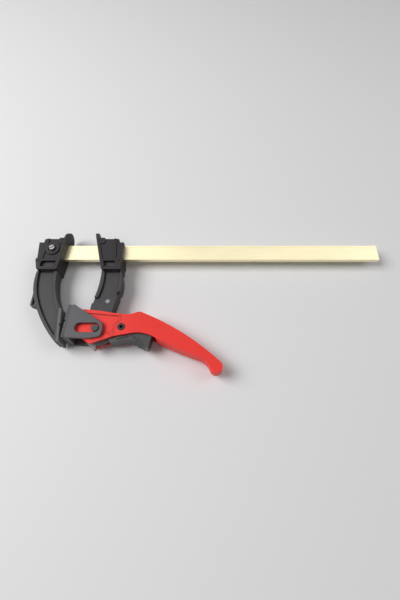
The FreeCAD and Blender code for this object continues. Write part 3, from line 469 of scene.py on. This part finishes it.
class FinishShelf:
    """Hands out each finish's material, made once."""

    def __init__(self) -> None:
        """Start with an empty shelf."""
        self.made: dict[str, bpy.types.Material] = {}

    def take(self, finish: Finish) -> bpy.types.Material:
        """Take a finish's material, which is made when first asked for.

        Args:
            finish: The finish.

        Returns:
            Its material.
        """
        if finish.name not in self.made:
            self.made[finish.name] = finish.material()
        return self.made[finish.name]


@dataclass(frozen=True)
class Dressing:
    """How one piece of the frame is finished.

    Attributes:
        node: The piece's name in the frame.
        finish: Its finish.
        edge: The radius of its moulded or broken edges, in metres.
    """

    node: str
    finish: Finish
    edge: float


@dataclass(frozen=True)
class RoundingRules:
    """What the edge rounder counts as flat, sharp, roomy and smooth.

    Attributes:
        weld: Points closer than this are one point, in metres.
        flat: The cosine over which two faces lie in one flat.
        sharp: The least turn of an edge that is rounded, in radians.
        chain: The largest turn between two edges of one run, in radians.
        smooth: The cosine over which two faces share their shading.
        steps: The faces across a rounded edge.
        profile: Its profile, which is round at a half.
        refilled_faces: The least number of faces of a flat that is filled anew.
        same_spot: Points of a flat closer than this are one point, in millimetres.
        no_area: A triangle of no more than this is left out, in square millimetres.
        radius_shares: The shares of the radius that runs are tried with.
        room_shares: Where a run's sides are tested, in shares of the radius.
        room_gap: How far a tested spot may lie off the surface, in metres.
        room_turn: The least cosine between a tested spot's surface and the side.
    """

    weld: float = 0.002 * MM
    flat: float = math.cos(math.radians(0.5))
    sharp: float = math.radians(28.0)
    chain: float = math.radians(30.0)
    smooth: float = math.cos(math.radians(36.0))
    steps: int = 3
    profile: float = 0.5
    refilled_faces: int = 3
    same_spot: float = 0.0001
    no_area: float = 0.000001
    radius_shares: tuple[float, ...] = (1.0, 0.45)
    room_shares: tuple[float, ...] = (0.5, 1.0, 1.5)
    room_gap: float = 0.03 * MM
    room_turn: float = 0.9


def is_inside(spot: Vector, rim: list[tuple[Vector, Vector]]) -> bool:
    """Tell whether a spot lies inside closed rims, and not in a hole.

    Args:
        spot: The spot.
        rim: The ends of each of the rims' lines.

    Returns:
        True inside.
    """
    inside = False
    for first, second in rim:
        if (first.y > spot.y) != (second.y > spot.y):
            share = (spot.y - first.y) / (second.y - first.y)
            if first.x + share * (second.x - first.x) > spot.x:
                inside = not inside
    return inside


def spot_and_neighbours(corner: bmesh.types.BMVert) -> tuple[tuple[float, ...], list[tuple[float, ...]]]:
    """A corner's spot, and those of its neighbours for corners that share a spot."""
    return tuple(corner.co), sorted(tuple(edge.other_vert(corner).co) for edge in corner.link_edges)


def numbered_corners(part: bmesh.types.BMEdge | bmesh.types.BMFace) -> list[int]:
    """The numbers of the corners of an edge or a face, from the lowest."""
    return sorted(corner.index for corner in part.verts)


class EdgeRounder:
    """Rounds the outer edges of one frame piece and keeps its flat faces flat."""

    def __init__(self, mesh: bpy.types.Mesh, rules: RoundingRules) -> None:
        """Take a copy of a piece's mesh and number its flats.

        Args:
            mesh: The frame piece's mesh, which stays as it is.
            rules: What counts as flat, sharp, roomy and smooth.
        """
        self.rules = rules
        self.shape = bmesh.new()
        self.shape.from_mesh(mesh)
        bmesh.ops.remove_doubles(self.shape, verts=self.shape.verts, dist=rules.weld)
        self.shape.normal_update()
        self.flat_number = self.shape.faces.layers.int.new("flat_number")
        self.flat_normals: list[Vector] = [Vector()]
        for face in self.shape.faces:
            if face[self.flat_number] == 0:
                self.number_flat(face)

    def number_flat(self, seed: bmesh.types.BMFace) -> None:
        """Give every face that lies in one flat with the seed the same new number.

        Args:
            seed: A face that has no number yet.
        """
        number = len(self.flat_normals)
        self.flat_normals.append(seed.normal.copy())
        waiting = [seed]
        seed[self.flat_number] = number
        while waiting:
            for edge in waiting.pop().edges:
                for face in edge.link_faces:
                    if face[self.flat_number] == 0 and face.normal.dot(seed.normal) > self.rules.flat:
                        face[self.flat_number] = number
                        waiting.append(face)

    def put_in_order(self) -> None:
        """Sort and number the corners, edges and faces by place, because a bevel leaves them in any order."""
        places = (
            (self.shape.verts, spot_and_neighbours),
            (self.shape.edges, numbered_corners),
            (self.shape.faces, numbered_corners),
        )
        for parts, place in places:
            ranks = {part: rank for rank, part in enumerate(sorted(parts, key=place))}
            parts.sort(key=ranks.get)
            parts.index_update()

    def outer_edges(self) -> list[bmesh.types.BMEdge]:
        """The edges that stand out and turn sharply."""
        return [
            edge
            for edge in self.shape.edges
            if len(edge.link_faces) == 2
            and edge.is_convex
            and edge.calc_face_angle(0.0) > self.rules.sharp
        ]

    def runs(self) -> list[list[bmesh.types.BMEdge]]:
        """Sort the outer edges into runs that go round a curve without a corner.

        Returns:
            The runs.
        """
        waiting = set(self.outer_edges())
        runs = []
        for seed in [edge for edge in self.shape.edges if edge in waiting]:
            if seed not in waiting:
                continue
            waiting.discard(seed)
            run = [seed]
            for edge in run:
                for corner in edge.verts:
                    towards = corner.co - edge.other_vert(corner).co
                    for after in corner.link_edges:
                        onwards = after.other_vert(corner).co - corner.co
                        if after in waiting and towards.angle(onwards, math.pi) < self.rules.chain:
                            waiting.discard(after)
                            run.append(after)
            runs.append(run)
        return runs

    def has_room(self, edge: bmesh.types.BMEdge, surface: BVHTree, radius: float) -> bool:
        """Tell whether both sides of an edge run on flat past a radius.

        Args:
            edge: The edge.
            surface: The whole piece, to find its surface.
            radius: The radius that the edge would get, in metres.

        Returns:
            True where the rounded edge fits.
        """
        middle = (edge.verts[0].co + edge.verts[1].co) / 2
        for loop in edge.link_loops:
            along = loop.link_loop_next.vert.co - loop.vert.co
            inward = loop.face.normal.cross(along).normalized()
            for share in self.rules.room_shares:
                _, normal, _, gap = surface.find_nearest(middle + inward * radius * share)
                if gap > self.rules.room_gap or normal.dot(loop.face.normal) < self.rules.room_turn:
                    return False
        return True

    def round_runs(self, radius: float) -> None:
        """Round each run that has room for a radius all along.

        Args:
            radius: The radius, in metres.
        """
        self.shape.normal_update()
        surface = BVHTree.FromBMesh(self.shape)
        roomy = [run for run in self.runs() if all(self.has_room(edge, surface, radius) for edge in run)]
        chosen = [edge for run in roomy for edge in run]
        if not chosen:
            return
        made = bmesh.ops.bevel(
            self.shape,
            geom=chosen,
            offset=radius,
            offset_type="OFFSET",
            segments=self.rules.steps,
            profile=self.rules.profile,
            affect="EDGES",
            clamp_overlap=False,
            loop_slide=False,
        )
        for face in made["faces"]:
            face[self.flat_number] = 0

    def refill_flats(self) -> None:
        """Fill each flat anew inside its rim, so that no face of it is left folded."""
        self.put_in_order()
        groups: dict[int, list[bmesh.types.BMFace]] = {}
        for face in self.shape.faces:
            groups.setdefault(face[self.flat_number], []).append(face)
        for number, faces in sorted(groups.items()):
            if number > 0 and len(faces) >= self.rules.refilled_faces:
                self.refill(number, faces)

    def refill(self, number: int, faces: list[bmesh.types.BMFace]) -> None:
        """Put new triangles in the place of one flat's faces.

        Args:
            number: The flat's number.
            faces: The faces that it has.
        """
        members = set(faces)
        edges = {edge for face in faces for edge in face.edges}
        rim = [edge for edge in edges if sum(face in members for face in edge.link_faces) == 1]
        corners = sorted({corner for edge in rim for corner in edge.verts}, key=lambda corner: corner.index)
        places = {corner: place for place, corner in enumerate(corners)}
        across = self.flat_normals[number].orthogonal().normalized()
        along = self.flat_normals[number].cross(across)
        base = corners[0].co.copy()
        offsets = [corner.co - base for corner in corners]
        spots = [Vector((offset.dot(across), offset.dot(along))) / MM for offset in offsets]
        lines = sorted(tuple(sorted(places[corner] for corner in edge.verts)) for edge in rim)
        filled = delaunay_2d_cdt(spots, lines, [], 0, self.rules.same_spot)
        flat_spots, triangles, sources = filled[0], filled[2], filled[3]
        bmesh.ops.delete(self.shape, geom=faces, context="FACES_KEEP_BOUNDARY")
        made = []
        for spot, source in zip(flat_spots, sources):
            if source:
                made.append(corners[source[0]])
            else:
                made.append(self.shape.verts.new(base + (across * spot.x + along * spot.y) * MM))
        rim_spots = [(spots[first], spots[second]) for first, second in lines]
        for triangle in triangles:
            if area_tri(*(flat_spots[place] for place in triangle)) <= self.rules.no_area:
                continue
            middle = sum((flat_spots[place] for place in triangle), Vector((0.0, 0.0))) / 3
            three = [made[place] for place in triangle]
            if is_inside(middle, rim_spots) and self.shape.faces.get(three) is None:
                face = self.shape.faces.new(three)
                face[self.flat_number] = number
                face.normal_update()
                if face.normal.dot(self.flat_normals[number]) < 0:
                    face.normal_flip()

    def face_corners(self) -> list[list[bmesh.types.BMVert]]:
        """List each face's corners in their order round it, from the lowest number.

        Returns:
            The corners of each face.
        """
        rows = []
        for face in self.shape.faces:
            corners = list(face.verts)
            first = corners.index(min(corners, key=lambda corner: corner.index))
            rows.append(corners[first:] + corners[:first])
        return rows

    def shading_normals(self) -> list[Vector]:
        """Work out a normal for each face corner, with wide flats counting most.

        Returns:
            One normal for each face corner.
        """
        areas: dict[int, float] = {}
        keys = [face[self.flat_number] or -1 - face.index for face in self.shape.faces]
        for face, key in zip(self.shape.faces, keys):
            areas[key] = areas.get(key, 0.0) + face.calc_area()
        normals = []
        for face, corners in zip(self.shape.faces, self.face_corners()):
            for corner in corners:
                parts = {keys[face.index]: face.normal}
                for other in sorted(corner.link_faces, key=lambda side: side.index):
                    if other.normal.dot(face.normal) > self.rules.smooth:
                        parts.setdefault(keys[other.index], other.normal)
                total = sum((normal * areas[key] for key, normal in parts.items()), Vector())
                normals.append(total.normalized() if total.length > 0 else face.normal.copy())
        return normals

    def finish(self, name: str, radius: float) -> bpy.types.Mesh:
        """Round the edges and hand over the new mesh.

        Args:
            name: The new mesh's name.
            radius: The radius of the edges that have room for it, in metres.

        Returns:
            The new mesh.
        """
        for share in self.rules.radius_shares:
            self.round_runs(radius * share)
        self.refill_flats()
        self.put_in_order()
        self.shape.normal_update()
        normals = self.shading_normals()
        spots = [tuple(corner.co) for corner in self.shape.verts]
        faces = [[corner.index for corner in corners] for corners in self.face_corners()]
        mesh = bpy.data.meshes.new(name)
        mesh.from_pydata(spots, [], faces)
        self.shape.free()
        mesh.polygons.foreach_set("use_smooth", [True] * len(mesh.polygons))
        mesh.normals_split_custom_set(normals)
        return mesh


@dataclass
class Dresser:
    """Gives frame pieces their rounded edges and finishes.

    Attributes:
        frame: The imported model.
        shelf: Where the finishes' materials come from.
        rules: What the edge rounder goes by.
    """

    frame: dict
    shelf: FinishShelf
    rules: RoundingRules = RoundingRules()

    def slot_of(self, node: str) -> str:
        """The record's material slot that a frame piece has."""
        rows = self.frame["record"]["subparts"]
        return next(row["material_slot"] for row in rows if row["node"] == node)

    def body_of(self, node: str) -> str:
        """The body that a frame piece belongs to."""
        groups = self.frame["record"]["behaviour"]["bodies"]
        return next(body for body, nodes in groups.items() if node in nodes)

    def dress(self, dressing: Dressing) -> bpy.types.Object:
        """Copy a frame piece with its edges rounded, and finish it.

        Args:
            dressing: What the piece gets.

        Returns:
            The new piece.
        """
        rounder = EdgeRounder(self.frame["nodes"][dressing.node].data, self.rules)
        mesh = rounder.finish(f"{dressing.node}_skin", dressing.edge)
        mesh.materials.clear()
        mesh.materials.append(self.shelf.take(dressing.finish))
        piece = bpy.data.objects.new(f"{dressing.node}_skin", mesh)
        bpy.context.scene.collection.objects.link(piece)
        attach(piece, self.body_of(dressing.node))
        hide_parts(dressing.node)
        self.slot_of(dressing.node)
        LOG.info("%s: %d faces", piece.name, len(mesh.polygons))
        return piece


@dataclass
class SubAssembly:
    """A group of frame pieces that is finished together.

    Attributes:
        dresser: What finishes them.
        dressings: What each of them gets.
    """

    dresser: Dresser
    dressings: tuple[Dressing, ...] = ()

    def build(self) -> list[bpy.types.Object]:
        """Finish every piece of the group.

        Returns:
            The finished pieces.
        """
        return [self.dresser.dress(dressing) for dressing in self.dressings]


@dataclass
class BarAndFixedJaw(SubAssembly):
    """The rail with the fixed head, its arm, its screw and its pad."""

    dressings: tuple[Dressing, ...] = (
        Dressing("bar", BAR_ALUMINIUM, 0.15 * MM),
        Dressing("fixed_arm", ARM_PLASTIC, 0.5 * MM),
        Dressing("fixed_head_cover", HEAD_PLASTIC, 0.35 * MM),
        Dressing("fixed_grip_plate", HEAD_PLASTIC, 0.5 * MM),
        Dressing("fixed_cover_pin", DARK_STEEL, 0.2 * MM),
        Dressing("fixed_head_screw", PLATED_STEEL, 0.2 * MM),
        Dressing("fixed_head_washer", WASHER_STEEL, 0.1 * MM),
        Dressing("fixed_head_nut", PLATED_STEEL, 0.2 * MM),
        Dressing("fixed_jaw_pad", FIXED_PAD_RUBBER, 0.3 * MM),
    )


@dataclass
class SlidingArm(SubAssembly):
    """The movable arm with its head, brake pin and ratchet plate."""

    dressings: tuple[Dressing, ...] = (
        Dressing("movable_arm", ARM_PLASTIC, 0.5 * MM),
        Dressing("movable_head_cover", HEAD_PLASTIC, 0.35 * MM),
        Dressing("movable_grip_plate", HEAD_PLASTIC, 0.5 * MM),
        Dressing("movable_cover_pin", DARK_STEEL, 0.2 * MM),
        Dressing("brake_pin", PLATED_STEEL, 0.2 * MM),
        Dressing("ratchet_sector", SECTOR_STEEL, 0.15 * MM),
        Dressing("sector_rivet", RIVET_STEEL, 0.15 * MM),
    )


@dataclass
class ClampingLever(SubAssembly):
    """The red lever with its tubular rivet and leaf spring.

    Attributes:
        spring_node: The leaf spring's name in the frame.
        spring_keep: How much of the spring's arch is left when the trigger is squeezed; not used.
    """

    dressings: tuple[Dressing, ...] = (
        Dressing("lever", LEVER_RED, 1.4 * MM),
        Dressing("trigger_pin", DARK_STEEL, 0.2 * MM),
        Dressing("trigger_spring", PLATED_STEEL, 0.05 * MM),
    )
    spring_node: str = "trigger_spring"
    spring_keep: float = 0.4

    def build(self) -> list[bpy.types.Object]:
        """Finish the pieces, and give the leaf spring a mesh of its own.

        Returns:
            The finished pieces.
        """
        pieces = super().build()
        spring = next(piece for piece in pieces if piece.name.startswith(self.spring_node))
        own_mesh(spring)
        return pieces


@dataclass
class ReleaseTrigger(SubAssembly):
    """The finger trigger with its pawl."""

    dressings: tuple[Dressing, ...] = (
        Dressing("trigger", TRIGGER_PLASTIC, 0.35 * MM),
        Dressing("pawl", DARK_STEEL, 0.1 * MM),
    )


@dataclass
class SwivelPin(SubAssembly):
    """The lever pin and the clip on its far end."""

    dressings: tuple[Dressing, ...] = (
        Dressing("lever_pin", PIN_STEEL, 0.3 * MM),
        Dressing("lever_pin_clip", DARK_STEEL, 0.1 * MM),
    )


@dataclass
class PushingJaw(SubAssembly):
    """The pressure jaw with its pad."""

    dressings: tuple[Dressing, ...] = (
        Dressing("pressure_jaw", JAW_PLASTIC, 0.5 * MM),
        Dressing("jaw_pad", PAD_RUBBER, 0.3 * MM),
    )


@dataclass
class PhotoCamera:
    """A camera at the photograph's place over the clamp.

    Attributes:
        offset: From the middle of the bar's free end, on the bench, to the camera.
        tilt: How far it leans back from looking straight down.
        lens: Its focal length, in millimetres.
        sensor: The width that the focal length goes with, in millimetres.
        stake_height: How far the stake at that end stands over the bar's edge.
        nearest: The least distance that it sees.
        farthest: The largest distance that it sees.
    """

    offset: tuple[float, float, float] = (-217.0 * MM, -238.0 * MM, 377.0 * MM)
    tilt: float = math.radians(25.8)
    lens: float = 21.0
    sensor: float = 36.0
    stake_height: float = 1.2 * MM
    nearest: float = 10.0 * MM
    farthest: float = 20.0

    def build(self) -> bpy.types.Object:
        """Set up the camera.

        Returns:
            The camera object.
        """
        low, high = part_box("bar")
        bar_end = Vector((high[0], (low[1] + high[1] - self.stake_height) / 2, 0.0))
        data = bpy.data.cameras.new("photo_camera")
        data.lens = self.lens
        data.sensor_width = self.sensor
        data.sensor_fit = "AUTO"
        data.clip_start = self.nearest
        data.clip_end = self.farthest
        camera = bpy.data.objects.new("photo_camera", data)
        camera.location = bar_end + Vector(self.offset)
        camera.rotation_euler = (self.tilt, 0.0, 0.0)
        bpy.context.scene.collection.objects.link(camera)
        bpy.context.scene.camera = camera
        return camera


@dataclass
class Studio:
    """A pale floor under soft light that comes mostly from the left.

    Attributes:
        floor_side: The floor's side, in metres.
        floor_colour: Its colour.
        floor_roughness: Its roughness.
        sky_strength: How bright the sky lights the clamp.
        seen_sky_strength: How bright the sky looks, straight or in a reflection.
        key_power: The main lamp's power, in watts.
        key_side: Its side, in metres.
        key_place: Its place.
        fill_power: The second lamp's power, in watts.
        fill_side: Its side, in metres.
        fill_place: Its place.
    """

    floor_side: float = 6.0
    floor_colour: tuple[float, float, float, float] = (0.82, 0.82, 0.83, 1.0)
    floor_roughness: float = 0.9
    sky_strength: float = 0.19
    seen_sky_strength: float = 1.0
    key_power: float = 21.5
    key_side: float = 1.0
    key_place: tuple[float, float, float] = (-1.10, 0.10, 1.25)
    fill_power: float = 4.2
    fill_side: float = 0.8
    fill_place: tuple[float, float, float] = (0.95, 0.15, 1.25)

    def build(self) -> None:
        """Lay the floor and hang the lamps."""
        self.lay_floor()
        self.hang("key_lamp", self.key_place, self.key_side, self.key_power)
        self.hang("fill_lamp", self.fill_place, self.fill_side, self.fill_power)
        bpy.context.scene.world = self.make_sky()
        bpy.context.scene.view_settings.view_transform = "Standard"

    def make_sky(self) -> bpy.types.World:
        """A dim even sky that looks white where the camera or a reflection sees it.

        Returns:
            The world.
        """
        world = bpy.data.worlds.new("studio_sky")
        world.use_nodes = True
        tree = world.node_tree
        sky = tree.nodes["Background"]
        sky.inputs["Color"].default_value = (1.0, 1.0, 1.0, 1.0)
        path = tree.nodes.new("ShaderNodeLightPath")
        seen = path.outputs["Is Camera Ray"]
        for ray in ("Is Glossy Ray", "Is Transmission Ray"):
            either = tree.nodes.new("ShaderNodeMath")
            either.operation = "MAXIMUM"
            tree.links.new(seen, either.inputs[0])
            tree.links.new(path.outputs[ray], either.inputs[1])
            seen = either.outputs["Value"]
        strength = tree.nodes.new("ShaderNodeMapRange")
        strength.inputs["To Min"].default_value = self.sky_strength
        strength.inputs["To Max"].default_value = self.seen_sky_strength
        tree.links.new(seen, strength.inputs["Value"])
        tree.links.new(strength.outputs["Result"], sky.inputs["Strength"])
        return world

    def lay_floor(self) -> None:
        """Make the pale floor."""
        half = self.floor_side / 2
        mesh = bpy.data.meshes.new("studio_floor")
        corners = [(-half, -half, 0.0), (half, -half, 0.0), (half, half, 0.0), (-half, half, 0.0)]
        mesh.from_pydata(corners, [], [(0, 1, 2, 3)])
        bench = ShaderBench("studio_floor")
        bench.surface.inputs["Base Color"].default_value = self.floor_colour
        bench.surface.inputs["Roughness"].default_value = self.floor_roughness
        mesh.materials.append(bench.material)
        floor = bpy.data.objects.new("studio_floor", mesh)
        bpy.context.scene.collection.objects.link(floor)

    def hang(self, name: str, place: tuple[float, float, float], side: float, power: float) -> None:
        """Hang a square lamp that faces the clamp.

        Args:
            name: The lamp's name.
            place: Where it hangs.
            side: How wide it is, in metres.
            power: Its power, in watts.
        """
        data = bpy.data.lights.new(name, "AREA")
        data.shape = "SQUARE"
        data.size = side
        data.energy = power
        lamp = bpy.data.objects.new(name, data)
        lamp.location = place
        lamp.rotation_euler = (-Vector(place)).to_track_quat("-Z", "Y").to_euler()
        bpy.context.scene.collection.objects.link(lamp)


def main() -> None:
    """Build the studio, then finish each sub-assembly round the frame."""
    logging.basicConfig(level=logging.INFO, format="%(name)s: %(message)s")
    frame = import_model()
    PhotoCamera().build()
    Studio().build()
    dresser = Dresser(frame, FinishShelf())
    for group in (BarAndFixedJaw, SlidingArm, ClampingLever, ReleaseTrigger, SwivelPin, PushingJaw):
        pieces = group(dresser).build()
        LOG.info("%s: %d pieces", group.__name__, len(pieces))


if __name__ == "__main__":
    main()
